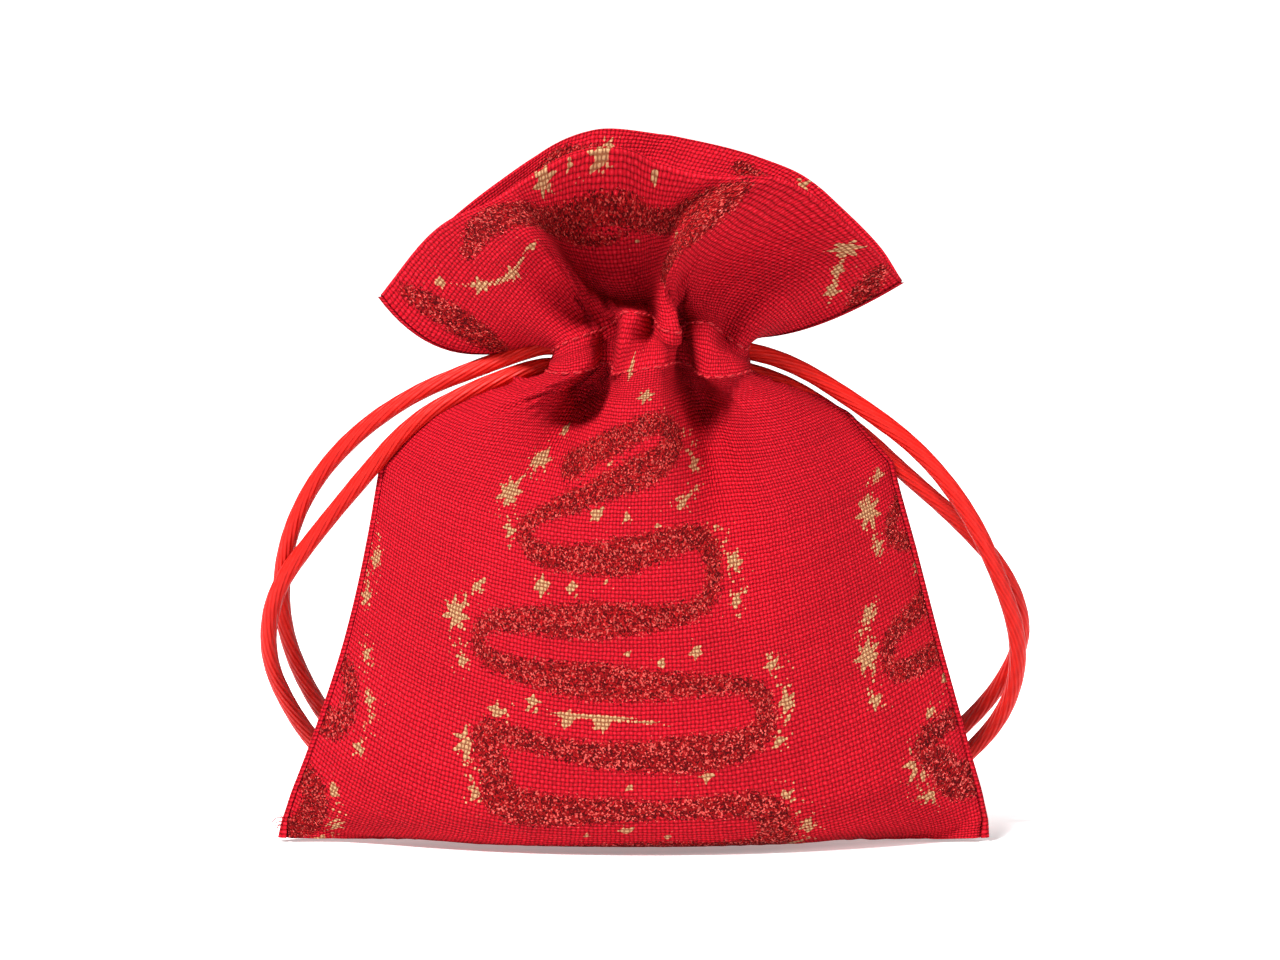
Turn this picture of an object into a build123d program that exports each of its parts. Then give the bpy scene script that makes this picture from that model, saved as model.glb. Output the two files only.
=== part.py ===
"""Fabric gift sack with two drawstrings, cinched and standing on its base.

Two cloth panels are sewn together at the sides and the bottom.  A stitched casing
carries two cords that leave it at opposite sides, and above the casing the cloth
flares into a ruffle with a front and a back lip.

Frame: origin in the middle of the base on the ground, +X to the right, +Z up, the front
faces -Y.  Units are millimetres.
"""
import math
import os

from build123d import *

# --- driving dimensions -------------------------------------------------------------
CLOTH = 1.1                # wall of a panel, its folds included
SACK_HALF_WIDTH = 49.3     # at the bottom corners
SACK_HALF_DEPTH = 21.5     # at the belly
PANEL_TOP = 64.2           # where the panels meet the casing
CASING_TOP = 74.4
RUFFLE_GAP = 0.4           # between casing and ruffle, so that the lips can turn
FRONT_RIM_TOP = 98.0       # middle of the front lip
BACK_RIM_TOP = 99.5        # middle of the back lip
TIP_X, TIP_Z = 36.5, 77.5  # side tips of the ruffle
LIP_SPLIT = 0.15           # half the gap between the lips at the side tips
CORD_DIAMETER = 2.5
KNOT_RADIUS = 3.4
KNOT_LENGTH = 7.0
KNOT_Y = 34.3              # the knots lie behind the sack
TAIL_LENGTH = 11.0
SEAM_THICKNESS = 0.9
SEAM_ALLOWANCE = 5.0
THREAD = 0.6

# Casing, all ellipses in plan: (half width, half depth)
CASING_OUTER = (13.6, 9.0)
CASING_WALL = 1.0
FACING_OUTER = (4.5, 3.95)
FACING_WALL = 0.9
FLANGE = 0.9
SLIT_HALF_DEPTH, SLIT_HALF_HEIGHT = 1.9, 3.1

EXIT_X = 13.6              # the cords leave the casing here
EXIT_Z = 68.9              # middle of the two strands, one above the other
STRAND_PITCH = 2.7
LOWER_Z, UPPER_Z = EXIT_Z - STRAND_PITCH / 2, EXIT_Z + STRAND_PITCH / 2
RING_END = 10.7            # the cord round the throat starts here, inside the slit
JOINT_GAP = 0.6            # between pieces of cord that meet at a joint or a knot

# Sections of the sack: height, half width, half depth
SACK_SECTIONS = [
    (0.0, 47.5, 15.0),
    (2.5, SACK_HALF_WIDTH, 17.6),
    (18.0, 45.0, SACK_HALF_DEPTH),
    (36.0, 39.0, 21.0),
    (50.0, 34.5, 17.5),
    (58.5, 27.0, 13.5),
    (PANEL_TOP, 16.5, 9.6),
]
# Sections of the ruffle before its rim is cut
RUFFLE_SECTIONS = [
    (CASING_TOP + RUFFLE_GAP, 15.0, 8.6),
    (76.2, 25.5, 10.6),
    (78.6, 35.0, 13.4),
    (84.0, 40.0, 16.6),
    (92.0, 41.0, 19.0),
    (103.0, 41.5, 21.0),
]

# Routes of the free strands, from the casing to the knot
LEFT_UPPER = [
    (-EXIT_X, 0.0, UPPER_Z),
    (-22.0, 0.6, 67.2),
    (-31.0, 1.1, 63.6),
    (-39.8, 1.8, 57.4),
    (-46.3, 2.7, 49.4),
    (-49.7, 4.0, 40.2),
    (-50.0, 6.8, 31.0),
    (-47.6, 11.2, 22.4),
    (-43.0, 17.6, 13.6),
    (-36.6, 24.6, 5.8),
    (-29.5, 31.0, 1.9),
    (-23.4, 34.8, 1.8),
    (-18.6, 35.6, 3.4),
]
LEFT_LOWER = [
    (-EXIT_X, 0.0, LOWER_Z),
    (-22.4, -0.8, 64.4),
    (-31.0, -0.9, 60.0),
    (-38.3, -0.4, 51.6),
    (-45.2, 0.2, 43.2),
    (-50.9, 2.0, 35.4),
    (-52.2, 5.4, 26.0),
    (-48.9, 10.6, 17.2),
    (-43.6, 16.8, 9.0),
    (-37.0, 22.4, 2.4),
    (-29.8, 27.6, 1.5),
    (-23.4, 31.6, 1.9),
    (-18.6, 33.0, 3.4),
]
RIGHT_UPPER = [
    (EXIT_X, 0.0, UPPER_Z),
    (22.0, -0.6, 68.3),
    (31.5, -1.4, 62.4),
    (40.4, -1.9, 55.8),
    (47.0, -1.6, 47.4),
    (51.6, 0.4, 37.8),
    (55.0, 4.2, 27.4),
    (53.4, 9.6, 17.4),
    (46.6, 16.4, 8.8),
    (39.0, 22.4, 2.6),
    (31.0, 27.6, 1.5),
    (24.0, 31.6, 1.9),
    (19.2, 33.0, 3.4),
]
RIGHT_LOWER = [
    (EXIT_X, 0.0, LOWER_Z),
    (22.0, 0.4, 65.0),
    (30.6, 1.2, 59.2),
    (38.6, 1.9, 51.8),
    (46.6, 2.8, 44.8),
    (53.4, 4.8, 37.0),
    (55.8, 8.6, 28.0),
    (51.8, 13.6, 19.4),
    (45.4, 19.4, 12.0),
    (38.4, 25.4, 5.6),
    (31.0, 31.4, 1.9),
    (24.2, 34.8, 1.8),
    (19.2, 35.6, 3.4),
]
# Route of the left cord inside the casing, round the throat; the right cord's is this
# one turned half round.
RING_ROUTE = [
    (-RING_END, 0.0, LOWER_Z),
    (-8.7, -0.6, LOWER_Z),
    (-7.7, -3.1, LOWER_Z),
    (-5.2, -5.5, LOWER_Z),
    (-0.8, -6.3, LOWER_Z),
    (3.2, -5.6, LOWER_Z),
    (5.9, -2.2, 68.1),
    (5.9, 2.2, 69.7),
    (3.2, 5.6, UPPER_Z),
    (-0.8, 6.3, UPPER_Z),
    (-5.2, 5.5, UPPER_Z),
    (-7.7, 3.1, UPPER_Z),
    (-8.7, 0.6, UPPER_Z),
    (-RING_END, 0.0, UPPER_Z),
]


# --- shared shapes ------------------------------------------------------------------
def lens(z, half_width, half_depth):
    """Face between a front and a back arc that meet in a pointed side seam."""
    left, right = (-half_width, 0, z), (half_width, 0, z)
    front = ThreePointArc(left, (0, -half_depth, z), right)
    back = ThreePointArc(right, (0, half_depth, z), left)
    return make_face([front, back])


def lens_body(sections, inset=0.0):
    """Solid through lens sections, each drawn in by inset at front and back."""
    point_inset = 2.0 * inset   # a pointed end draws in further than the flanks
    return loft([lens(z, w - point_inset, d - inset) for z, w, d in sections])


def half(shape, side):
    """The front (side -1) or back (side +1) half of a shape."""
    return shape & Pos(0, side * 100, 0) * Box(400, 200, 400)


def ellipse_prism(size, low, high):
    return Pos(0, 0, low) * extrude(Ellipse(size[0], size[1]), amount=high - low)


def grown(size, by):
    return size[0] + by, size[1] + by


def export(shape, name):
    export_step(shape, os.path.join("parts", name + ".step"))


def bend_radii(points):
    """As large an arc at each corner as its two runs allow."""
    vectors = [Vector(*p) for p in points]
    radii = []
    for a, b, c in zip(vectors, vectors[1:], vectors[2:]):
        turn = math.radians((b - a).get_angle(c - b))
        shorter = min((b - a).length, (c - b).length)
        radii.append(0.45 * shorter / math.tan(turn / 2))
    return radii


def cord(points, name):
    """Round tube of straight runs joined by tangent arcs."""
    radii = bend_radii(points)
    path = FilletPolyline(*points, radius=radii)
    section = Plane(origin=path @ 0, z_dir=path % 0) * Circle(CORD_DIAMETER / 2)
    tube = sweep(section, path=path)
    ideal = math.pi * (CORD_DIAMETER / 2) ** 2 * path.length
    print(f"{name}: length {path.length:.1f}, volume/ideal {tube.volume / ideal:.4f},",
          "radii", [round(r, 1) for r in radii])
    return tube


# --- sewn sack ----------------------------------------------------------------------
def cavity_sections():
    """The sack's sections from the inside of its floor up."""
    floor = CLOTH
    return [(floor, 47.8, 16.2), *SACK_SECTIONS[1:-1],
            (PANEL_TOP + 0.5, *SACK_SECTIONS[-1][1:])]


def panels():
    shell = lens_body(SACK_SECTIONS) - lens_body(cavity_sections(), CLOTH)
    return half(shell, -1), half(shell, +1)


def seams():
    """Raw edges of both panels, pressed together inside along sides and bottom."""
    clearance = 0.5
    bottom_clearance = 0.2
    sections = [(CLOTH + bottom_clearance, 47.8, 16.2), *SACK_SECTIONS[1:-1]]
    outer = lens_body(sections, CLOTH + clearance)
    hollow_low = CLOTH + bottom_clearance + SEAM_ALLOWANCE
    hollow = [(z, w - SEAM_ALLOWANCE, d) for z, w, d in sections[1:]]
    hollow = [(hollow_low, 43.0, 17.0), *hollow[1:-1],
              (sections[-1][0] + 1, *hollow[-1][1:])]
    strip = (outer - lens_body(hollow, CLOTH + clearance)) & Box(200, SEAM_THICKNESS, 400)
    side_start = hollow_low + 0.6
    bottom = strip & Pos(0, 0, side_start - 0.3 - 50) * Box(200, 50, 100)
    upper = strip & Pos(0, 0, side_start + 100) * Box(200, 50, 200)
    left = upper & Pos(-100, 0, 100) * Box(200, 50, 300)
    right = upper & Pos(100, 0, 100) * Box(200, 50, 300)
    return bottom, left, right


# --- casing -------------------------------------------------------------------------
def casing():
    """Outer wall with flanges above and below, slit at both sides for the cords."""
    low, high = PANEL_TOP + 0.02, CASING_TOP
    wall = ellipse_prism(CASING_OUTER, low, high)
    wall -= ellipse_prism(grown(CASING_OUTER, -CASING_WALL), low + FLANGE, high - FLANGE)
    wall -= ellipse_prism(grown(FACING_OUTER, 0.02), low - 1, high + 1)
    slits = Pos(0, 0, EXIT_Z) * Box(60, 2 * SLIT_HALF_DEPTH, 2 * SLIT_HALF_HEIGHT)
    keep = ellipse_prism(grown(FACING_OUTER, 2.0), low - 1, high + 1)
    wall -= slits - keep
    return half(wall, -1), half(wall, +1)


def facing():
    """Inner wall of the casing, the turned-down top of the cloth round the throat."""
    low, high = PANEL_TOP + 0.02, CASING_TOP
    wall = ellipse_prism(FACING_OUTER, low, high)
    wall -= ellipse_prism(grown(FACING_OUTER, -FACING_WALL), low - 1, high + 1)
    return half(wall, -1), half(wall, +1)


def stitch_line(z):
    """Thread of one seam round the outside of the casing."""
    outside = grown(CASING_OUTER, 0.02)
    ring = ellipse_prism(grown(outside, THREAD), z - THREAD / 2, z + THREAD / 2)
    return ring - ellipse_prism(outside, z - 1, z + 1)


# --- ruffle -------------------------------------------------------------------------
def arch(top, margin=0.0):
    """Everything under the curved rim line, seen from the front."""
    low = -20.0
    tip_z = TIP_Z + margin
    rim = ThreePointArc((-TIP_X, 0, tip_z), (0, 0, top), (TIP_X, 0, tip_z))
    rest = Polyline((TIP_X, 0, tip_z), (60, 0, tip_z - 18), (60, 0, low),
                    (-60, 0, low), (-60, 0, tip_z - 18), (-TIP_X, 0, tip_z))
    return extrude(make_face([rim, rest]), amount=60, both=True)


def ruffle():
    """Flared top of the cloth as a front and a back lip."""
    inner = [(RUFFLE_SECTIONS[0][0] - 0.5, *RUFFLE_SECTIONS[0][1:]),
             *RUFFLE_SECTIONS[1:-1],
             (RUFFLE_SECTIONS[-1][0] + 0.5, *RUFFLE_SECTIONS[-1][1:])]
    flare = lens_body(RUFFLE_SECTIONS) - lens_body(inner, CLOTH)
    lips = []
    for side, top in ((-1, FRONT_RIM_TOP), (1, BACK_RIM_TOP)):
        lip = half(flare, side) & arch(top)
        lips.append(lip - Box(400, 2 * LIP_SPLIT, 400))
    return lips


# --- drawstrings --------------------------------------------------------------------
def ring_route(side):
    """Cord route inside the casing: side -1 leaves at the left, +1 at the right."""
    return [(-side * x, -side * y, z) for x, y, z in RING_ROUTE]


def rod(start, end):
    """Straight piece of cord between two points."""
    start, end = Vector(*start), Vector(*end)
    length = (end - start).length
    place = Plane(origin=start, z_dir=end - start)
    return place * Pos(0, 0, length / 2) * Cylinder(CORD_DIAMETER / 2, length)


def cord_ends(side):
    """The two ends of one cord where they pass through the slit of the casing."""
    inner, outer = side * (RING_END + JOINT_GAP), side * (EXIT_X - JOINT_GAP)
    return Compound([rod((inner, 0, z), (outer, 0, z)) for z in (LOWER_Z, UPPER_Z)])


def knot(side, face_x):
    """Overhand knot of both ends with its two tails, lying on the ground."""
    inward = -side
    middle_x = face_x + inward * (KNOT_LENGTH / 2 + JOINT_GAP)
    barrel = Cylinder(KNOT_RADIUS, KNOT_LENGTH)
    barrel = fillet(barrel.edges().filter_by(GeomType.CIRCLE), KNOT_RADIUS * 0.5)
    body = Pos(middle_x, KNOT_Y, KNOT_RADIUS) * Rotation(0, 90, 0) * barrel
    tail_x = middle_x + inward * (KNOT_LENGTH / 2 - 1.5)
    for spread in (-1.0, 1.0):
        start = (tail_x, KNOT_Y + spread * 1.5, 2.6)
        end = (tail_x + inward * TAIL_LENGTH, KNOT_Y + spread * 3.6, 1.35)
        body += rod(start, end)
    return body


def main():
    os.makedirs("parts", exist_ok=True)
    for name, shape in zip(("front_panel", "back_panel"), panels()):
        export(shape, name)
    names = ("bottom_seam", "left_side_seam", "right_side_seam")
    for name, shape in zip(names, seams()):
        export(shape, name)
    for name, shape in zip(("front_casing", "back_casing"), casing()):
        export(shape, name)
    for name, shape in zip(("front_facing", "back_facing"), facing()):
        export(shape, name)
    export(stitch_line(PANEL_TOP + 1.2), "lower_casing_stitching")
    export(stitch_line(CASING_TOP - 1.2), "upper_casing_stitching")
    for name, shape in zip(("front_ruffle", "back_ruffle"), ruffle()):
        export(shape, name)
    routes = {
        "left": (LEFT_UPPER, LEFT_LOWER),
        "right": (RIGHT_UPPER, RIGHT_LOWER),
    }
    for side, word in ((-1, "left"), (1, "right")):
        export(cord(ring_route(side), word + "_ring"), word + "_cord_in_casing")
        export(cord_ends(side), word + "_cord_ends_in_slit")
        for route, level in zip(routes[word], ("upper", "lower")):
            name = f"{word}_{level}_strand"
            export(cord(route, name), name)
        export(knot(side, routes[word][0][-1][0]), word + "_knot")


main()
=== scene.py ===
"""Fabric gift sack: the looks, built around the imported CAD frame.

Lengths written in this script are millimetres until they become vertices, because the
cloth is laid out as a flat cutting pattern; MM turns them into the frame's metres.
"""
import math

import bpy
import numpy as np
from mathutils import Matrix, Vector


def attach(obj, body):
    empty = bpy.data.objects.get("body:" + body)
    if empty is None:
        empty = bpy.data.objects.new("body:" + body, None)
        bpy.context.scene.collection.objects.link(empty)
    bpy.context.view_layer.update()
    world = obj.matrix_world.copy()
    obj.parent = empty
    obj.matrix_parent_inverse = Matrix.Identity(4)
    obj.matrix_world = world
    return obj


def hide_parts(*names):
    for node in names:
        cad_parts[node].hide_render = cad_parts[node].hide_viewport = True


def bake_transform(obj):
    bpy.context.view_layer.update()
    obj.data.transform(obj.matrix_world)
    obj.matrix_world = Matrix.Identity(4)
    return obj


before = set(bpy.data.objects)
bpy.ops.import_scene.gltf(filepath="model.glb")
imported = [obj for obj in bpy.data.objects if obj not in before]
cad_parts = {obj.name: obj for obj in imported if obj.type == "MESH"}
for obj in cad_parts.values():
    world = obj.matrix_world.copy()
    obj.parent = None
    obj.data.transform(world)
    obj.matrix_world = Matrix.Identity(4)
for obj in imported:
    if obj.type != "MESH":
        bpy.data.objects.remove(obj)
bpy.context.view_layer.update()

MM = 0.001

# --- the cutting pattern --------------------------------------------------------------
PANEL_WIDTH = 100.0
PANEL_HEIGHT = 120.0
CHANNEL_LOW, CHANNEL_HIGH = 88.0, 96.0    # the two rows of casing stitches
HEM_DEPTH = PANEL_HEIGHT - CHANNEL_LOW    # turned in from the rim
COLUMNS = 80                              # cells across one panel while it settles
ROWS = 96                                 # cells from bottom seam to rim
FINER = 1                                 # times the settled grid is halved
HALF_PANEL = PANEL_WIDTH / 2

# --- the made-up sack -----------------------------------------------------------------
NECK_MIDDLE_X = 2.2                       # the neck stands a little right of the middle
NECK_HALF_WIDTH = 13.4
NECK_HALF_DEPTH = 9.2
NECK_LOW_MIDDLE, NECK_LOW_SIDE = 67.6, 66.4
NECK_HIGH_MIDDLE, NECK_HIGH_SIDE = 76.0, 71.8
# Outlines of the gathered neck seen from above, one part for each pleat: x, and how far
# out from the middle plane. A panel's width is shared out between its pleats.
FRONT_PLEAT_ENDS = [0.0, 0.30, 0.50, 0.69, 1.0]
FRONT_NECK_LOW = [
    [(-11.8, 0.0), (-12.0, 5.2), (-11.0, 8.8), (-8.6, 10.8), (-6.2, 10.2), (-5.0, 7.0),
     (-4.6, 3.2)],
    [(-4.6, 3.2), (-3.0, 3.6), (-2.8, 8.2), (-1.2, 12.2), (1.4, 13.6)],
    [(1.4, 13.6), (4.2, 12.6), (5.6, 8.8), (5.9, 4.8), (6.8, 3.0)],
    [(6.8, 3.0), (8.2, 4.2), (8.8, 8.4), (10.8, 11.2), (13.4, 10.6), (15.8, 6.6), (16.6, 0.0)],
]
FRONT_NECK_HIGH = [
    [(-10.6, 0.0), (-11.2, 3.8), (-10.8, 7.2), (-9.0, 9.4), (-6.6, 8.8), (-5.2, 6.0),
     (-4.8, 3.1)],
    [(-4.8, 3.1), (-2.6, 3.1), (-1.9, 6.6), (-1.3, 10.2), (0.0, 11.6), (1.3, 9.8), (2.2, 6.6),
     (2.8, 4.2)],
    [(2.8, 4.2), (3.4, 8.0), (4.0, 11.8), (5.6, 13.0), (6.9, 10.4), (6.6, 6.4), (7.2, 3.2)],
    [(7.2, 3.2), (8.0, 6.6), (9.6, 8.8), (11.4, 8.0), (12.0, 5.4), (13.2, 5.4), (14.6, 6.2),
     (15.9, 4.0), (16.2, 0.0)],
]
# How far the rows of stitches rise and fall from pleat to pleat, by share of the width
PLEAT_SHARES = [0.0, 0.08, 0.16, 0.30, 0.40, 0.50, 0.58, 0.69, 0.80, 0.92, 1.0]
PLEAT_RISES = [0.0, -1.6, -1.0, -1.8, 0.6, -1.0, -2.2, -1.4, 0.4, -1.6, 0.0]
BACK_PLEAT_ENDS = [0.0, 0.25, 0.51, 0.76, 1.0]
BACK_NECK_LOW = [
    [(-11.8, 0.0), (-11.2, 6.0), (-8.6, 9.6), (-6.8, 7.6), (-6.2, 3.2)],
    [(-6.2, 3.2), (-5.0, 3.6), (-4.6, 8.8), (-1.2, 12.0), (1.4, 9.2), (2.0, 3.2)],
    [(2.0, 3.2), (3.2, 3.6), (3.8, 9.2), (6.6, 11.8), (9.2, 8.8), (9.8, 3.2)],
    [(9.8, 3.2), (11.0, 3.8), (11.8, 8.4), (14.4, 8.2), (16.6, 0.0)],
]
BACK_NECK_HIGH = [
    [(-10.6, 0.0), (-10.4, 4.6), (-8.4, 7.0), (-6.6, 5.8), (-5.9, 3.0)],
    [(-5.9, 3.0), (-4.6, 3.2), (-4.0, 7.2), (-1.6, 9.6), (0.8, 7.6), (1.6, 3.0)],
    [(1.6, 3.0), (2.8, 3.2), (3.4, 7.4), (5.8, 9.6), (8.2, 7.2), (9.0, 3.0)],
    [(9.0, 3.0), (10.2, 3.2), (10.9, 6.8), (13.6, 6.6), (16.2, 0.0)],
]
# Above the casing the front lip is tucked in under its scoop: share of the panel's
# width, reach of the tuck and how deep it goes
TUCKS = [(0.235, 0.055, 5.5), (0.40, 0.05, 4.0), (0.72, 0.04, 3.0)]
# Folds that run on into the front of the body: x at the neck and at the lower end,
# reach, depth, and how high on the panel they end
BODY_FOLDS = [
    (-4.4, -9.5, 2.3, 8.5, 62.0), (7.0, 17.0, 2.3, 8.0, 38.0), (13.5, 17.0, 2.0, 1.5, 72.0),
]

GATHERS_FROM = 54.0                       # the neck's pleats begin here on the panel
SLIT_OPENING, SLIT_REACH = 1.1, 3.0       # the cords come out between the panels here
HEM_THICKNESS = 0.8
SETTLING_FRAMES = 30

# Rim of each lip from the left tip to the right one
FRONT_RIM = [
    (-35.5, 0, 77.3), (-27.7, -8, 87.0), (-18.9, -15, 92.1), (-9.0, -19.5, 98.0),
    (-1.7, -20, 99.0), (3.8, -18, 96.7), (11.3, -17.5, 95.2), (19.2, -17.5, 95.2),
    (25.0, -14, 92.0), (32.0, -8, 85.5), (37.6, 0, 79.3),
]
BACK_RIM = [
    (-35.5, 0, 77.3), (-27.7, 6, 85.6), (-20.8, 11, 91.3), (-12.5, 15, 96.7),
    (-5.0, 17.5, 99.2), (2.4, 18, 98.9), (9.7, 18, 97.4), (17.2, 17, 95.5),
    (24.1, 14, 93.0), (29.6, 11, 88.4), (34.5, 6, 83.6), (37.6, 0, 79.3),
]
# Half-way up each lip: the front one has a scoop left of the middle and a ridge right
# of it
FRONT_HALFWAY = [
    (-24.5, 0, 69.4), (-18.5, -8.5, 78.5), (-13.4, -14.6, 84.5), (-10.6, -11.0, 84.5),
    (-8.4, -4.0, 82.5), (-4.0, -0.4, 81.5), (0.6, -1.6, 82.0), (3.6, -7.0, 83.5),
    (6.6, -16.4, 85.0), (8.6, -11.6, 83.0), (11.8, -6.4, 81.5), (17.0, -5.6, 80.5),
    (22.0, -5.6, 78.5), (25.8, 0, 73.4),
]
BACK_HALFWAY = [
    (-24.5, 0, 69.4), (-19.0, 6.0, 79.0), (-12.0, 12.0, 86.5), (-6.0, 9.0, 87.5),
    (0.5, 13.0, 88.5), (6.5, 9.5, 87.0), (12.5, 12.5, 86.0), (19.5, 7.0, 80.5),
    (25.8, 0, 73.4),
]
# Body: distance along the cloth from the bottom seam, then depth and height in the
# middle of the panel, then half width and height at the side seam
BODY_PROFILE = [
    (0, 0.0, 0.3, 49.3, 0.6),
    (4, 4.0, 0.2, 49.6, 3.4),
    (8, 8.0, 0.2, 48.8, 7.2),
    (12, 12.0, 1.0, 47.7, 11.0),
    (15, 14.7, 2.8, 46.9, 13.9),
    (18, 16.8, 5.2, 46.2, 16.6),
    (30, 20.6, 17.2, 43.0, 28.2),
    (45, 20.9, 32.0, 39.4, 42.0),
    (60, 19.4, 46.4, 36.0, 54.0),
    (72, 16.4, 57.0, 29.0, 61.0),
    (80, 12.8, 63.4, 21.5, 64.6),
    (CHANNEL_LOW, NECK_HALF_DEPTH, NECK_LOW_MIDDLE, NECK_HALF_WIDTH, NECK_LOW_SIDE),
]
LEFT_PULLED_IN = 2.4                      # how far the left edge curves inwards

# --- cords ----------------------------------------------------------------------------
CORD_DIAMETER = 2.4
EXIT_Z = 68.9                             # middle of the two strands at their slit
STRAND_PITCH = 2.7
INNER_START = 7.5                         # a strand begins this far from the middle
LEFT_UPPER = [
    (-13.6, 0.0, 70.25),
    (-22.0, 0.6, 67.2),
    (-31.0, 1.1, 63.6),
    (-39.8, 1.8, 57.4),
    (-46.3, 2.7, 49.4),
    (-49.7, 4.0, 40.2),
    (-50.0, 6.8, 31.0),
    (-47.6, 11.2, 22.4),
    (-43.0, 17.6, 13.6),
    (-36.6, 24.6, 5.8),
    (-29.5, 31.0, 1.9),
    (-23.4, 34.8, 1.8),
    (-18.6, 35.6, 3.4),
]
LEFT_LOWER = [
    (-13.6, 0.0, 67.55),
    (-22.4, -0.8, 64.4),
    (-31.0, -0.9, 60.0),
    (-38.3, -0.4, 51.6),
    (-45.2, 0.2, 43.2),
    (-50.9, 2.0, 35.4),
    (-52.2, 5.4, 26.0),
    (-48.9, 10.6, 17.2),
    (-43.6, 16.8, 9.0),
    (-37.0, 22.4, 2.4),
    (-29.8, 27.6, 1.5),
    (-23.4, 31.6, 1.9),
    (-18.6, 33.0, 3.4),
]
RIGHT_UPPER = [
    (13.6, 0.0, 70.25),
    (22.0, -0.6, 68.3),
    (31.5, -1.4, 62.4),
    (40.4, -1.9, 55.8),
    (47.0, -1.6, 47.4),
    (51.6, 0.4, 37.8),
    (55.0, 4.2, 27.4),
    (53.4, 9.6, 17.4),
    (46.6, 16.4, 8.8),
    (39.0, 22.4, 2.6),
    (31.0, 27.6, 1.5),
    (24.0, 31.6, 1.9),
    (19.2, 33.0, 3.4),
]
RIGHT_LOWER = [
    (13.6, 0.0, 67.55),
    (22.0, 0.4, 65.0),
    (30.6, 1.2, 59.2),
    (38.6, 1.9, 51.8),
    (46.6, 2.8, 44.8),
    (53.4, 4.8, 37.0),
    (55.8, 8.6, 28.0),
    (51.8, 13.6, 19.4),
    (45.4, 19.4, 12.0),
    (38.4, 25.4, 5.6),
    (31.0, 31.4, 1.9),
    (24.2, 34.8, 1.8),
    (19.2, 35.6, 3.4),
]


# --- the print and the stitches ---------------------------------------------------------
THREAD_PITCH = 0.59
STITCH_LENGTH, STITCH_GAP = 1.8, 0.7
SEAM_REACH = 0.75                         # how far the side seams stand out
REPEAT, HALF_DROP = 65.0, -9.0            # of the printed pattern
# Runs of the glitter meander: height on the panel, left end, right end, and how much
# higher the right end is
MEANDER_RUNS = [
    (11.0, -12.0, 16.0, 0.0), (19.5, -16.5, 16.0, 0.0), (28.5, -21.0, 16.0, -0.5),
    (37.5, -21.5, 15.5, -2.0), (46.5, -21.0, 10.0, 3.5), (57.0, -15.5, 10.0, 3.0),
    (66.0, -15.5, 4.0, 8.5), (72.6, -13.5, 3.0, 7.5),
]
# Ribbons on the lips and their hems: centre line on the panel, and half widths along it
LIP_RIBBONS = [
    ([(-34, 115), (-26, 116.5), (-15, 113.5), (-3, 115), (8, 113.5), (16, 117), (16, 111),
      (10, 105)],
     [1.0, 3.0, 2.3, 1.7, 1.8, 2.8, 2.6, 2.2]),
    ([(-46, 118), (-44.5, 112), (-45.5, 106), (-49, 102)], [1.0, 2.2, 2.2, 0.8]),
    ([(50, 113), (48, 116), (45.5, 119)], [0.8, 1.9, 1.2]),
    ([(11, 127), (17, 124.5), (24, 124)], [1.5, 2.6, 1.0]),
    ([(47, 123), (56, 126), (64, 123.5), (72, 125)], [1.0, 1.8, 1.4, 2.0]),
    ([(-14, 112), (-8, 111.4), (-2, 112.2)], [0.2, 0.9, 0.3]),
]
# Stars placed on the lips, the neck and the body: place on the panel, and size
PLACED_STARS = [
    (-14.5, 119.0, 2.3), (-10.0, 119.4, 0.9), (-5.5, 119.5, 2.0), (3.0, 119.0, 0.9),
    (38.5, 118.0, 2.2), (42.0, 115.0, 1.1), (45.0, 112.6, 1.5), (-41.0, 115.5, 1.0),
    (-37.0, 111.0, 1.6), (-31.0, 108.5, 1.5), (-25.0, 109.5, 0.9), (-3.0, 88.5, 1.1),
    (1.0, 81.5, 1.9), (4.5, 78.0, 1.0), (-17.0, 74.0, 1.3), (-19.0, 69.5, 1.6),
    (12.0, 111.0, 0.7), (6.0, 110.5, 0.5), (0.0, 111.0, 0.6), (26.0, 123.0, 1.4),
    (57.0, 122.0, 1.6), (62.0, 122.5, 1.0),
]
# Thin foil trails, on the lips and the body
PLACED_TRAILS = [
    [(-41, 115.5), (-37, 111), (-31, 108.5), (-23, 110)],
    [(38, 119), (41.5, 115.5), (45, 112.6), (48, 110.5)],
    [(-3.2, 91), (-3, 88), (-3.6, 85)],
    [(-16, 32.6), (-8, 33.2), (2, 32.6), (8, 31.0)],
]


# --- helpers --------------------------------------------------------------------------
def placed(name, data):
    """A new object in the scene that holds the data."""
    obj = bpy.data.objects.new(name, data)
    bpy.context.scene.collection.objects.link(obj)
    return obj


def mesh_of(name, verts, faces, material=None):
    mesh = bpy.data.meshes.new(name)
    mesh.from_pydata(verts, [], faces)
    if material:
        mesh.materials.append(material)
    return mesh


def run_along(line):
    """How far along a line each of its points lies."""
    return np.concatenate([[0], np.cumsum(np.linalg.norm(np.diff(line, axis=0), axis=1))])


def places_at(line, run, wanted):
    """Places on a line where its run has the wanted values."""
    return np.stack([np.interp(wanted, run, line[:, k]) for k in range(3)], axis=1)


def store(piece, name, values):
    """Keeps one number a vertex for the material to read."""
    attribute = piece.data.attributes.new(name, "FLOAT", "POINT")
    attribute.data.foreach_set("value", values.astype(np.float32))


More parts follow.
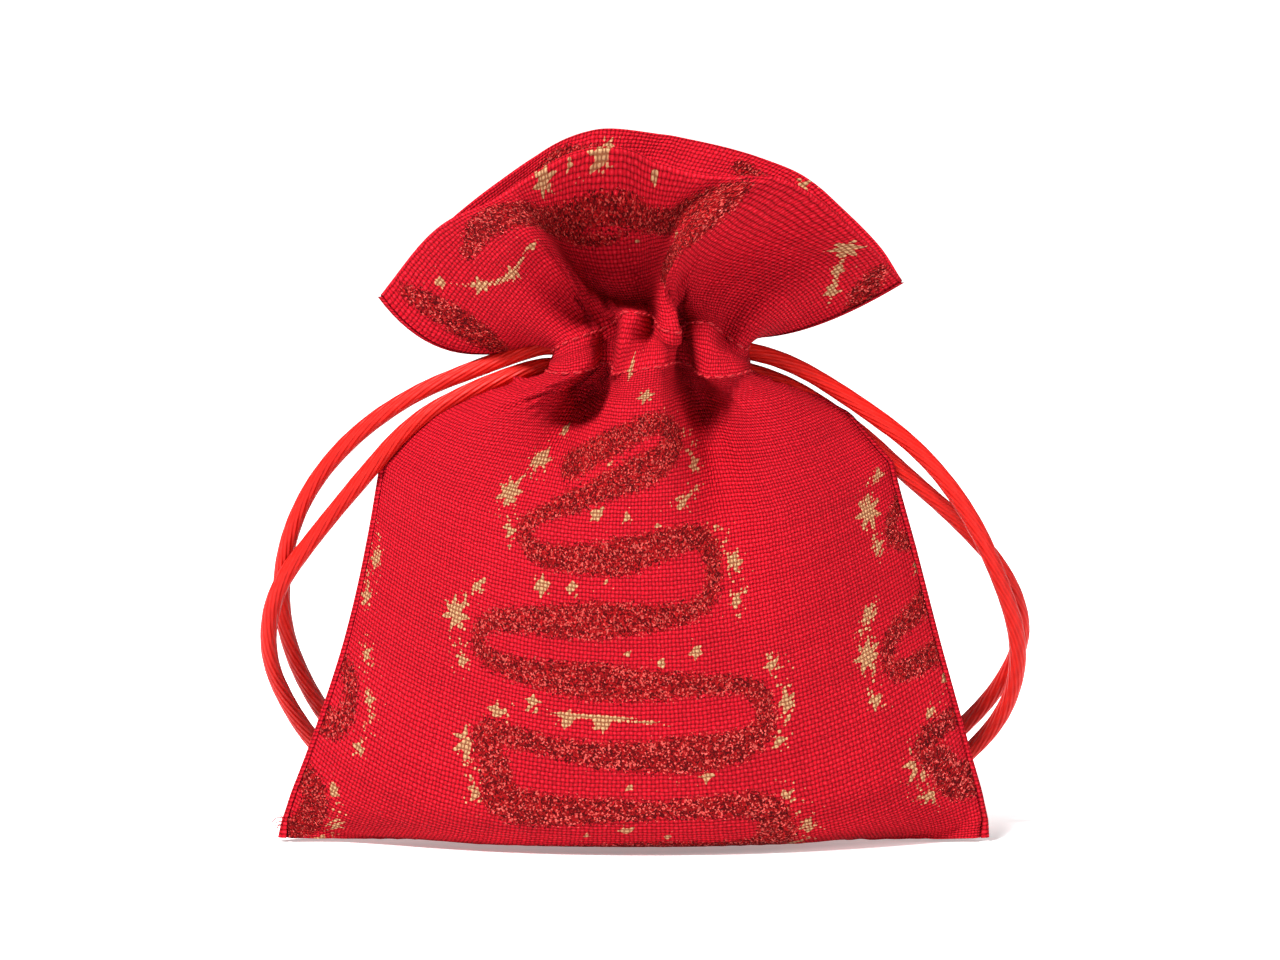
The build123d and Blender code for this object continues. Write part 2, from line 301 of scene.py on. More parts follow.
# --- camera, floor and light ----------------------------------------------------------
def make_camera():
    """A long lens a little above the sack, looking straight at its front."""
    data = bpy.data.cameras.new("camera")
    camera = placed("camera", data)
    distance = 1.2
    elevation = math.radians(6.0)
    data.sensor_width = 36.0
    data.lens = 36.0 * distance / 0.1803      # 180.3 mm across the picture at the sack
    target = Vector((0.9, 0.0, 51.4)) * MM
    camera.location = target + distance * Vector((0, -math.cos(elevation), math.sin(elevation)))
    camera.rotation_euler = (math.radians(90.0) - elevation, 0.0, 0.0)
    data.clip_start, data.clip_end = 0.05, 20.0
    bpy.context.scene.camera = camera


def make_floor(material):
    """A round white floor with a low white wall round it, far away."""
    corners, radius, wall = 64, 6.0, 0.7
    verts = []
    for height in (0.0, wall):
        for k in range(corners):
            angle = 2 * math.pi * k / corners
            verts.append((radius * math.cos(angle), radius * math.sin(angle), height))
    faces = [tuple(range(corners))]
    for k in range(corners):
        after = (k + 1) % corners
        faces.append((k, k + corners, after + corners, after))
    placed("floor", mesh_of("floor", verts, faces, material))


def make_light(name, place, target, size, power):
    """A rectangular softbox that faces the target."""
    data = bpy.data.lights.new(name, "AREA")
    data.shape = "RECTANGLE"
    data.size, data.size_y = size
    data.energy = power
    light = placed(name, data)
    light.location = place
    aim = Vector(target) - Vector(place)
    light.rotation_euler = aim.to_track_quat("-Z", "Y").to_euler()


def set_colours():
    """Plain display colours, so that the saturated red stays as it is."""
    bpy.context.scene.view_settings.view_transform = "Standard"


def make_world(strength):
    """A faint white light from all round."""
    world = bpy.data.worlds.new("studio")
    world.use_nodes = True
    background = world.node_tree.nodes["Background"]
    background.inputs["Color"].default_value = (1, 1, 1, 1)
    background.inputs["Strength"].default_value = strength
    bpy.context.scene.world = world


# --- shape of the made-up sack --------------------------------------------------------
def along(points, shares):
    """Places at the given shares (0 to 1) of a smooth curve's length."""
    points = np.array(points, dtype=float)
    padded = np.vstack([2 * points[0] - points[1], points, 2 * points[-1] - points[-2]])
    steps = np.linspace(0, 1, 12, endpoint=False)[:, None]
    parts = []
    for a, b, c, d in zip(padded, padded[1:], padded[2:], padded[3:]):
        tangent_b, tangent_c = (c - a) / 2, (d - b) / 2
        t = steps
        parts.append((2 * t**3 - 3 * t**2 + 1) * b + (t**3 - 2 * t**2 + t) * tangent_b
                     + (3 * t**2 - 2 * t**3) * c + (t**3 - t**2) * tangent_c)
    curve = np.vstack(parts + [points[-1:]])
    run = run_along(curve)
    return places_at(curve, run, shares * run[-1])


def pleated(parts, ends, side, shares):
    """Places along an outline whose parts each take their own share of the panel."""
    row = np.zeros((len(shares), 3))
    for part, start, stop in zip(parts, ends, ends[1:]):
        here = (shares >= start - 1e-9) & (shares <= stop + 1e-9)
        outline = [(x, side * out, 0) for x, out in part]
        row[here] = along(outline, (shares[here] - start) / (stop - start))
    return row


def neck_row(side, height_share, shares):
    """One row of the gathered casing, 0 at its lower stitches and 1 at its upper."""
    if side < 0:
        low = pleated(FRONT_NECK_LOW, FRONT_PLEAT_ENDS, side, shares)
        high = pleated(FRONT_NECK_HIGH, FRONT_PLEAT_ENDS, side, shares)
    else:
        low = pleated(BACK_NECK_LOW, BACK_PLEAT_ENDS, side, shares)
        high = pleated(BACK_NECK_HIGH, BACK_PLEAT_ENDS, side, shares)
    row = low + (high - low) * height_share
    middle = NECK_LOW_MIDDLE + (NECK_HIGH_MIDDLE - NECK_LOW_MIDDLE) * height_share
    edge = NECK_LOW_SIDE + (NECK_HIGH_SIDE - NECK_LOW_SIDE) * height_share
    from_middle = np.abs((row[:, 0] - NECK_MIDDLE_X) / NECK_HALF_WIDTH)
    row[:, 2] = middle + (edge - middle) * from_middle ** 1.6
    uneven = 0.5 * np.sin(25 * shares)
    if side < 0:
        uneven = np.interp(shares, PLEAT_SHARES, PLEAT_RISES)
    direction = 1 if height_share > 0.5 else -0.6
    row[:, 2] += uneven * direction * min(1, abs(2 * height_share - 1) * 2)
    return row


def body_row(side, v, shares):
    """One smooth row of the filled body; the base is flatter across than the belly."""
    table = np.array(BODY_PROFILE, dtype=float)
    depth, middle, half_width, edge = (np.interp(v, table[:, 0], table[:, k]) for k in (1, 2, 3, 4))
    q = 2 * shares - 1
    x = half_width * (0.75 * q + 0.25 * np.sin(q * math.pi / 2))
    across = x / half_width
    pulled_in = LEFT_PULLED_IN * math.sin(math.pi * min(v, 66.0) / 66.0)
    x = x + pulled_in * np.clip(-q, 0, 1) ** 2
    fullness = 0.5 + 0.4 * min(v / 30.0, 1.0)
    y = side * depth * (1 - across**2) ** fullness
    z = middle + (edge - middle) * np.abs(across) ** (4.2 - 2.0 * min(v / 30.0, 1.0))
    return np.stack([x, y, z], axis=1)


def lip_row(side, share, shares):
    """One row of a lip, from the upper stitches (0) to the rim (1)."""
    base = neck_row(side, 1.0, shares)
    halfway = along(FRONT_HALFWAY if side < 0 else BACK_HALFWAY, shares)
    rim = along(FRONT_RIM if side < 0 else BACK_RIM, shares)
    t = share
    row = base * (2 * t - 1) * (t - 1) + halfway * 4 * t * (1 - t) + rim * t * (2 * t - 1)
    if side < 0:
        rise = (t / 0.13) * math.exp(1 - t / 0.13)
        for place, reach, depth in TUCKS:
            inward = depth * rise * np.exp(-(((shares - place) / reach) ** 2))
            row[:, 1] = np.minimum(row[:, 1] + inward, -1.0)
        row[[0, -1], 1] = 0.0
    return row


def made_up(side):
    """Places of a whole panel's grid, rows by columns, before it settles."""
    shares = np.linspace(0, 1, COLUMNS + 1)
    low = neck_row(side, 0.0, shares)
    rows = []
    for v in np.linspace(0, PANEL_HEIGHT, ROWS + 1):
        if v <= CHANNEL_LOW:
            smooth = body_row(side, v, shares)
            gather = np.clip((v - GATHERS_FROM) / (CHANNEL_LOW - GATHERS_FROM), 0, 1) ** 1.7
            folded = low + (smooth - body_row(side, CHANNEL_LOW, shares))
            row = smooth + gather * (folded - smooth)
            if side < 0:
                for top_x, end_x, reach, depth, end in BODY_FOLDS:
                    share = np.clip((v - end) / (CHANNEL_LOW - end), 0, 1)
                    strength = depth * 2.2 * share**1.6 * (1 - share**6)
                    wider = reach * (2.6 - 1.6 * share)
                    middle_x = end_x + (top_x - end_x) * share
                    row[:, 1] += strength * np.exp(-(((row[:, 0] - middle_x) / wider) ** 2))
                row[1:-1, 1] = np.minimum(row[1:-1, 1], -1.0 - 1.8 * (v > 82.0))
            rows.append(row)
        elif v <= CHANNEL_HIGH:
            share = (v - CHANNEL_LOW) / (CHANNEL_HIGH - CHANNEL_LOW)
            rows.append(neck_row(side, share, shares))
        else:
            share = (v - CHANNEL_HIGH) / (PANEL_HEIGHT - CHANNEL_HIGH)
            rows.append(lip_row(side, share, shares))
    return np.array(rows)


def grid_index():
    """Vertex numbers of the sewn tube: rows by columns for the front and the back."""
    ring = 2 * COLUMNS
    front = np.arange(COLUMNS + 1)
    back = (ring - np.arange(COLUMNS + 1)) % ring
    rows = np.arange(ROWS + 1)[:, None] * ring
    front, back = rows + front, rows + back
    back[0] = front[0]                       # the bottom seam joins the two panels
    return front, back


def settled(front, back, places, flat, frames):
    """Lets the cloth settle under its filling's pressure and a little gravity.

    It is held at the casing and the bottom corners, nearly so at the rims, the base and the
    ruffle's seams, and in part at the ruffle's foot, the gathers and the low side seams.
    """
    scale = 10.0 * MM                        # the cloth solver works best near 1 m
    used = np.unique(np.concatenate([front.ravel(), back.ravel()]))
    number = {int(old): new for new, old in enumerate(used)}
    faces = []
    for grid, flip in ((front, False), (back, True)):
        for j in range(ROWS):
            for i in range(COLUMNS):
                face = [grid[j, i], grid[j, i + 1], grid[j + 1, i + 1], grid[j + 1, i]]
                if flip:
                    face.reverse()
                faces.append([number[int(k)] for k in face])
    obj = placed("settling", mesh_of("settling", (places[used] * scale).tolist(), faces))
    obj.shape_key_add(name="made_up")
    rest = obj.shape_key_add(name="flat")
    rest.data.foreach_set("co", (flat[used] * scale).ravel())

    v_of = np.empty(places.shape[0])
    s_of = np.empty(places.shape[0])
    v_row = np.linspace(0, PANEL_HEIGHT, ROWS + 1)
    s_row = np.linspace(-1, 1, COLUMNS + 1)
    for grid in (front, back):
        v_of[grid] = v_row[:, None]
        s_of[grid] = s_row[None, :]
    v_of, s_of = v_of[used], s_of[used]
    base_held, base_fade = 18.0, 6.0         # mm of the pattern from the bottom seam up
    gathers_from, gathers_fade = 50.0, 18.0
    flare_height = 16.0                      # mm above the casing
    hold = np.zeros(len(used))
    hold[(v_of >= CHANNEL_LOW - 0.1) & (v_of <= CHANNEL_HIGH + 0.1)] = 1.0
    hold[v_of > PANEL_HEIGHT - 0.6] = 0.9
    base = v_of < base_held
    hold[base] = 0.9 * np.clip((base_held - v_of[base]) / base_fade, 0, 1)
    hold[(v_of < 1.0) & (np.abs(s_of) > 0.97)] = 1.0
    side_seam = np.abs(s_of) > 0.999
    hold[side_seam & (v_of > CHANNEL_HIGH)] = 0.9
    low_side = side_seam & (v_of < CHANNEL_LOW)
    hold[low_side] = np.maximum(hold[low_side], 0.25)
    flare = (v_of > CHANNEL_HIGH + 0.1) & (v_of < CHANNEL_HIGH + flare_height) & ~side_seam
    hold[flare] = 0.75
    gathers = (v_of > gathers_from) & (v_of < CHANNEL_LOW - 0.1) & ~side_seam
    hold[gathers] = 0.9 * np.clip((v_of[gathers] - gathers_from) / gathers_fade, 0, 1)
    held = obj.vertex_groups.new(name="held")
    for k in np.nonzero(hold)[0]:
        held.add([int(k)], float(hold[k]), "REPLACE")
    filled = obj.vertex_groups.new(name="filled")
    fill = np.clip((CHANNEL_LOW - v_of) / 14.0, 0, 1)
    for k in np.nonzero(fill)[0]:
        filled.add([int(k)], float(fill[k]), "REPLACE")

    corners = [(-3, -3, 0), (3, -3, 0), (3, 3, 0), (-3, 3, 0)]
    floor = placed("settling_floor", mesh_of("settling_floor", corners, [(0, 1, 2, 3)]))
    floor.modifiers.new("collision", "COLLISION")
    floor.collision.thickness_outer = 0.002
    floor.collision.cloth_friction = 8

    cloth = obj.modifiers.new("cloth", "CLOTH")
    how = cloth.settings
    how.quality = 7
    how.mass = 0.15
    how.tension_stiffness = 60
    how.compression_stiffness = 40
    how.shear_stiffness = 12
    how.bending_stiffness = 5.0
    how.tension_damping = how.compression_damping = 12
    how.shear_damping = 12
    how.bending_damping = 2.0
    how.air_damping = 3.0
    how.vertex_group_mass = "held"
    how.pin_stiffness = 1.0
    how.rest_shape_key = rest
    how.use_pressure = True
    how.uniform_pressure_force = 1.2
    how.vertex_group_pressure = "filled"
    how.effector_weights.gravity = 0.25
    touch = cloth.collision_settings
    touch.use_collision = True
    touch.distance_min = 0.003
    touch.use_self_collision = True
    touch.self_distance_min = 0.004
    touch.self_friction = 4
    touch.collision_quality = 2
    cloth.point_cache.frame_start = 1
    cloth.point_cache.frame_end = frames

    scene = bpy.context.scene
    scene.frame_start, scene.frame_end = 1, frames
    for number_of_frame in range(1, frames + 1):
        scene.frame_set(number_of_frame)
    done = obj.evaluated_get(bpy.context.evaluated_depsgraph_get()).to_mesh()
    result = places.copy()
    coords = np.empty(len(used) * 3)
    done.vertices.foreach_get("co", coords)
    result[used] = coords.reshape(-1, 3) / scale
    scene.frame_set(1)
    for spare in (obj, floor):
        data = spare.data
        bpy.data.objects.remove(spare)
        bpy.data.meshes.remove(data)
    return result


def make_cloth():
    """Grids of places, rows by columns, of the front and the back panel."""
    front, back = grid_index()
    count = (ROWS + 1) * 2 * COLUMNS
    places = np.zeros((count, 3))
    flat = np.zeros((count, 3))
    s = np.linspace(-HALF_PANEL, HALF_PANEL, COLUMNS + 1)
    v = np.linspace(0, PANEL_HEIGHT, ROWS + 1)
    # the folds inside the casing's seams take up some of the width at the neck
    from_neck = np.clip(1 - np.abs(v - (CHANNEL_LOW + CHANNEL_HIGH) / 2) / 24.0, 0, 1)
    taken_in = 1 - 0.24 * from_neck
    for grid, side in ((back, 1), (front, -1)):
        places[grid] = made_up(side)
        flat[grid, 0] = s[None, :] * taken_in[:, None]
        flat[grid, 2] = v[:, None]
    places = settled(front, back, places, flat, SETTLING_FRAMES)
    return places[front], places[back]


def halved(grid):
    """The same surface with a new row between each two rows, on a smooth curve."""
    first, last = 2 * grid[0] - grid[1], 2 * grid[-1] - grid[-2]
    padded = np.concatenate([first[None], grid, last[None]])
    between = (9 * (padded[1:-2] + padded[2:-1]) - padded[:-3] - padded[3:]) / 16
    finer = np.empty((2 * len(grid) - 1, *grid.shape[1:]))
    finer[0::2], finer[1::2] = grid, between
    return finer


def refined(grid, times):
    """The grid halved both ways, a number of times over."""
    for _ in range(times):
        grid = halved(grid)
        grid = halved(grid.swapaxes(0, 1)).swapaxes(0, 1)
    return grid


def grid_normals(grid, side):
    """Outward unit normals of a panel's grid."""
    down, across = np.gradient(grid, axis=0), np.gradient(grid, axis=1)
    normals = np.cross(across, down) * -side
    return normals / np.maximum(np.linalg.norm(normals, axis=2, keepdims=True), 1e-9)


def with_hem(grid, side):
    """Adds the rim's fold and the turned-in hem to a panel, and opens the cord slits.

    Gives the places and the pattern coordinates, the hem going on upwards from the rim.
    """
    rows, columns = grid.shape[:2]
    s = np.linspace(-HALF_PANEL, HALF_PANEL, columns)
    v = np.linspace(0, PANEL_HEIGHT, rows)
    in_slit = (v > CHANNEL_LOW + 0.8) & (v < CHANNEL_HIGH - 0.8)
    share = np.clip((v - CHANNEL_LOW - 0.8) / (CHANNEL_HIGH - CHANNEL_LOW - 1.6), 0, 1)
    open_by = SLIT_OPENING * np.sin(math.pi * share) ** 0.5 * in_slit
    near_side = np.clip(1 - (HALF_PANEL - np.abs(s)) / SLIT_REACH, 0, 1) ** 2
    grid = grid.copy()
    grid[:, :, 1] += side * open_by[:, None] * near_side[None, :]

    normals = grid_normals(grid, side)
    step = v[1] - v[0]
    hem_rows = int(HEM_DEPTH / step)
    fold = np.array([0.25, 0.75])
    lift = 0.35 * HEM_THICKNESS
    upward = grid[-1] - grid[-2]
    upward /= np.linalg.norm(upward, axis=1, keepdims=True)
    places, pattern_v = [grid], [v]
    for part in fold:
        places.append((grid[-1] - normals[-1] * HEM_THICKNESS * part + upward * lift)[None])
    pattern_v.append(PANEL_HEIGHT + HEM_THICKNESS * fold)
    inside = grid[::-1][:hem_rows]
    deep = np.linspace(0, 1, hem_rows)[:, None, None]
    thickness = HEM_THICKNESS * (1 - 0.6 * deep)
    places.append(inside - normals[::-1][:hem_rows] * thickness)
    pattern_v.append(PANEL_HEIGHT + HEM_THICKNESS + step * np.arange(hem_rows))
    return np.concatenate(places), s, np.concatenate(pattern_v)


def sheet_object(name, places, s, v, side, material):
    """Mesh of a grid, with the cutting pattern as its UV map, 1 unit being 100 mm."""
    rows, columns = places.shape[:2]
    number = np.arange(rows * columns).reshape(rows, columns)
    quads = np.stack([number[:-1, :-1], number[:-1, 1:], number[1:, 1:], number[1:, :-1]], axis=-1)
    if side > 0:
        quads = quads[..., ::-1]
    quads = quads.reshape(-1, 4)
    mesh = mesh_of(name, (places.reshape(-1, 3) * MM).tolist(), quads.tolist(), material)
    mesh.shade_smooth()
    pattern = np.stack(np.broadcast_arrays(s[None, :], v[:, None]), axis=-1).reshape(-1, 2)
    layer = mesh.uv_layers.new(name="pattern")
    loops = np.empty(len(mesh.loops), dtype=np.int32)
    mesh.loops.foreach_get("vertex_index", loops)
    layer.data.foreach_set("uv", (pattern[loops] / 100.0).ravel())
    return placed(name, mesh), pattern


# --- the print ------------------------------------------------------------------------
def ribbon_path(runs):
    """Centre line of a meander that goes along each run and turns back at its end."""
    points = []
    for k, (height, left, right, rise) in enumerate(runs):
        outward = 1 if k % 2 == 0 else -1
        start, stop = (left, right) if outward > 0 else (right, left)
        wave = 0.9 * math.sin(2.0 * k + 1.0)
        points.append((start, height - outward * rise / 2, 0))
        points.append(((start + stop) / 2, height + wave, 0))
        points.append((stop, height + outward * rise / 2, 0))
        if k + 1 < len(runs):
            end = height + outward * rise / 2
            next_start = runs[k + 1][0] + outward * runs[k + 1][3] / 2
            points.append((stop + 3.2 * outward, (end + next_start) / 2, 0))
    return points


def distance_to(pattern, path, widths):
    """Signed distance in mm from pattern points to a ribbon of varying half width."""
    centres = along(path, np.linspace(0, 1, 420))[:, :2]
    half = np.interp(np.linspace(0, 1, 420), np.linspace(0, 1, len(widths)), widths)
    inside = np.full(len(pattern), -99.0)
    for k in range(0, 420, 2):
        gap = np.hypot(pattern[:, 0] - centres[k, 0], pattern[:, 1] - centres[k, 1])
        np.maximum(inside, half[k] - gap, out=inside)
    return inside


def star_distance(pattern, x, y, radius, points, turn):
    """Signed distance in mm from pattern points to the edge of a star."""
    dx, dy = pattern[:, 0] - x, pattern[:, 1] - y
    reach = np.hypot(dx, dy)
    angle = np.arctan2(dy, dx) + turn
    spike = np.abs(np.cos(angle * points / 2)) ** 2.6
    return radius * (0.32 + 0.72 * spike) - reach


def print_ribbons():
    """Paths and half widths of the glitter ribbons, in pattern millimetres."""
    ribbons = []
    for shift_s, shift_v in ((0, 0), (REPEAT, HALF_DROP), (-REPEAT, HALF_DROP)):
        runs = [(v + shift_v, left + shift_s, right + shift_s, rise)
                for v, left, right, rise in MEANDER_RUNS]
        path = ribbon_path(runs)
        widths = [(1.8, 1.3, 2.0, 2.8)[k % 4] for k in range(len(path))]
        widths[0], widths[-2:] = 0.7, [2.3, 2.2]
        ribbons.append((path, widths))
    for path, widths in LIP_RIBBONS:
        ribbons.append(([(a, b, 0) for a, b in path], widths))
    return ribbons


def print_stars(random):
    """The foil stars, drawn at random beside the bends or listed one by one, and the trails."""
    stars = []
    for shift_s, shift_v in ((0, 0), (REPEAT, HALF_DROP), (-REPEAT, HALF_DROP)):
        for k in range(len(MEANDER_RUNS) - 1):
            height = (MEANDER_RUNS[k][0] + MEANDER_RUNS[k + 1][0]) / 2 + shift_v
            outward = 1 if k % 2 == 0 else -1
            edge = (MEANDER_RUNS[k][2] if outward > 0 else MEANDER_RUNS[k][1]) + shift_s
            middle = edge - 2.0 * outward
            start = random.uniform(-0.95, -0.55)
            for step in range(11):
                angle = start + 0.17 * step + random.uniform(-0.04, 0.04)
                reach = 9.4 + random.uniform(-0.9, 1.1)
                x = middle + outward * reach * math.cos(angle)
                y = height + 0.95 * reach * math.sin(angle)
                size = random.uniform(0.35, 0.7)
                if step % 4 == 1:
                    size = random.uniform(1.3, 1.8)
                if step == 5 and k % 2 == 1:
                    size = random.uniform(2.5, 3.1)
                stars.append((x, y, size, 7 if size > 2.4 else 5, random.uniform(0, 6.28)))
            # a short string of stars inside the loop of the meander
            inner = MEANDER_RUNS[k][1 if outward > 0 else 2] + shift_s
            for step in range(3):
                x = inner + outward * (6.0 + 5.2 * step)
                y = height + 1.1 * math.sin(1.7 * step + k)
                size = random.uniform(0.7, 1.9)
                stars.append((x, y, size, 6 if size > 1.5 else 5, random.uniform(0, 6.28)))
    for x, y, size in PLACED_STARS:
        stars.append((x, y, size, 6 if size > 1.8 else 5, random.uniform(0, 6.28)))
    trails = [[(a, b, 0) for a, b in trail] for trail in PLACED_TRAILS]
    return stars, trails


def add_print(piece, pattern, shift):
    """Stores how far inside glitter and foil each vertex lies, and where foil dust is."""
    random = np.random.default_rng(11)
    spots = pattern + np.array([shift, 0.0])
    glitter = np.full(len(spots), -99.0)
    for path, widths in print_ribbons():
        np.maximum(glitter, distance_to(spots, path, widths), out=glitter)
    stars, trails = print_stars(random)
    foil = np.full(len(spots), -99.0)
    dust = np.zeros(len(spots))
    for x, y, size, points, turn in stars:
        np.maximum(foil, star_distance(spots, x, y, size, points, turn), out=foil)
        reach = np.hypot(spots[:, 0] - x, spots[:, 1] - y)
        dust += 0.45 * np.exp(-(reach / (size + 1.4)) ** 2)
    for trail in trails:
        np.maximum(foil, distance_to(spots, trail, [0.05, 0.3, 0.42, 0.3, 0.05]), out=foil)
    foil = np.where(glitter > -0.5, np.minimum(foil, -0.5 - glitter), foil)
    for name, values in (("glitter", glitter), ("foil", foil), ("dust", np.clip(dust, 0, 1))):
        store(piece, name, np.clip(values, -3, 3))


# --- materials ------------------------------------------------------------------------
class Shader:
    """A material whose nodes are written as arithmetic."""

    def __init__(self, name):
        self.material = bpy.data.materials.new(name)
        self.material.use_nodes = True
        self.tree = self.material.node_tree
        self.out = self.tree.nodes["Principled BSDF"]

    def node(self, kind, **settings):
        node = self.tree.nodes.new(kind)
        for key, value in settings.items():
            setattr(node, key, value)
        return node

    def put(self, socket, value):
        if isinstance(value, bpy.types.NodeSocket):
            self.tree.links.new(value, socket)
        elif isinstance(value, tuple) and len(value) == 3 and socket.type == "RGBA":
            socket.default_value = (*value, 1.0)
        else:
            socket.default_value = value

    def math(self, operation, *values, clamp=False):
        node = self.node("ShaderNodeMath", operation=operation, use_clamp=clamp)
        for socket, value in zip(node.inputs, values):
            self.put(socket, value)
        return node.outputs[0]

    def times(self, a, b):
        return self.math("MULTIPLY", a, b)

    def plus(self, a, b):
        return self.math("ADD", a, b)

    def fit(self, value, scale, offset):
        """value * scale + offset"""
        return self.math("MULTIPLY_ADD", value, scale, offset)

    def wave(self, turns):
        return self.math("SINE", self.times(turns, 2 * math.pi))

    def vector(self, operation, *values):
        node = self.node("ShaderNodeVectorMath", operation=operation)
        for socket, value in zip(node.inputs, values):
            self.put(socket, value)
        return node.outputs[0]

    def scaled(self, vector, factor):
        node = self.vector("SCALE", vector).node
        self.put(node.inputs["Scale"], factor)
        return node.outputs[0]

    def attribute(self, name):
        return self.node("ShaderNodeAttribute", attribute_name=name).outputs["Fac"]

    def uv(self):
        return self.node("ShaderNodeTexCoord").outputs["UV"]

    def split(self, vector):
        node = self.node("ShaderNodeSeparateXYZ")
        self.put(node.inputs[0], vector)
        return node.outputs[0], node.outputs[1]

    def join(self, x, y, z=0.0):
        node = self.node("ShaderNodeCombineXYZ")
        for socket, value in zip(node.inputs, (x, y, z)):
            self.put(socket, value)
        return node.outputs[0]

    def noise(self, vector, scale, detail=2.0, output="Fac"):
        node = self.node("ShaderNodeTexNoise")
        self.put(node.inputs["Vector"], vector)
        node.inputs["Scale"].default_value = scale
        node.inputs["Detail"].default_value = detail
        return node.outputs[output]

    def random(self, value):
        node = self.node("ShaderNodeTexWhiteNoise", noise_dimensions="1D")
        self.put(node.inputs["W"], value)
        return node.outputs["Value"]

    def cells(self, vector, scale):
        node = self.node("ShaderNodeTexVoronoi")
        self.put(node.inputs["Vector"], vector)
        node.inputs["Scale"].default_value = scale
        return node.outputs["Distance"], node.outputs["Color"]

    def mix(self, share, a, b):
        node = self.node("ShaderNodeMix", data_type="RGBA")
        self.put(node.inputs["Factor"], share)
        self.put(node.inputs[6], a)
        self.put(node.inputs[7], b)
        return node.outputs[2]

    def ramp(self, value, low, high):
        """0 below low, 1 above high, smooth between."""
        node = self.node("ShaderNodeMapRange", interpolation_type="SMOOTHSTEP")
        for socket, put in zip(node.inputs, (value, low, high, 0.0, 1.0)):
            self.put(socket, put)
        return node.outputs[0]

    def bump(self, height, strength, distance, normal=None):
        node = self.node("ShaderNodeBump")
        node.inputs["Strength"].default_value = strength
        node.inputs["Distance"].default_value = distance
        self.put(node.inputs["Height"], height)
        if normal is not None:
            self.put(node.inputs["Normal"], normal)
        return node.outputs[0]


def weave(sh, pitch):
    """Plain weave on the pattern: its height, and a random shade for the top thread."""
    uv = sh.uv()
    wobble = sh.noise(uv, 60.0, 3.0, "Color")
    wobble = sh.vector("SUBTRACT", wobble, (0.5, 0.5, 0.5))
    wobble = sh.vector("MULTIPLY", wobble, (0.0045, 0.0045, 0.0))
    u, v = sh.split(sh.vector("ADD", uv, wobble))
    x = sh.times(u, 100.0 / pitch)
    y = sh.times(v, 100.0 / pitch)
    column, row = sh.math("FLOOR", x), sh.math("FLOOR", y)
    across = sh.math("SINE", sh.times(sh.math("FRACT", x), math.pi))
    along_it = sh.math("SINE", sh.times(sh.math("FRACT", y), math.pi))
    odd = sh.math("FLOORED_MODULO", sh.plus(column, row), 2.0)
    sign = sh.fit(odd, -2.0, 1.0)
    lift = sh.fit(sh.times(along_it, sign), 0.5, 0.5)
    warp = sh.times(sh.math("POWER", across, 0.6), sh.times(lift, 0.74))
    lift = sh.fit(sh.times(across, sign), -0.5, 0.5)
    weft = sh.times(sh.math("POWER", along_it, 0.6), lift)
    height = sh.math("MAXIMUM", warp, weft)
    top = sh.math("GREATER_THAN", weft, warp)
    shade_warp = sh.random(column)
    shade_weft = sh.random(sh.plus(row, 517.3))
    difference = sh.math("SUBTRACT", shade_weft, shade_warp)
    shade = sh.fit(top, difference, shade_warp)
    return uv, height, shade


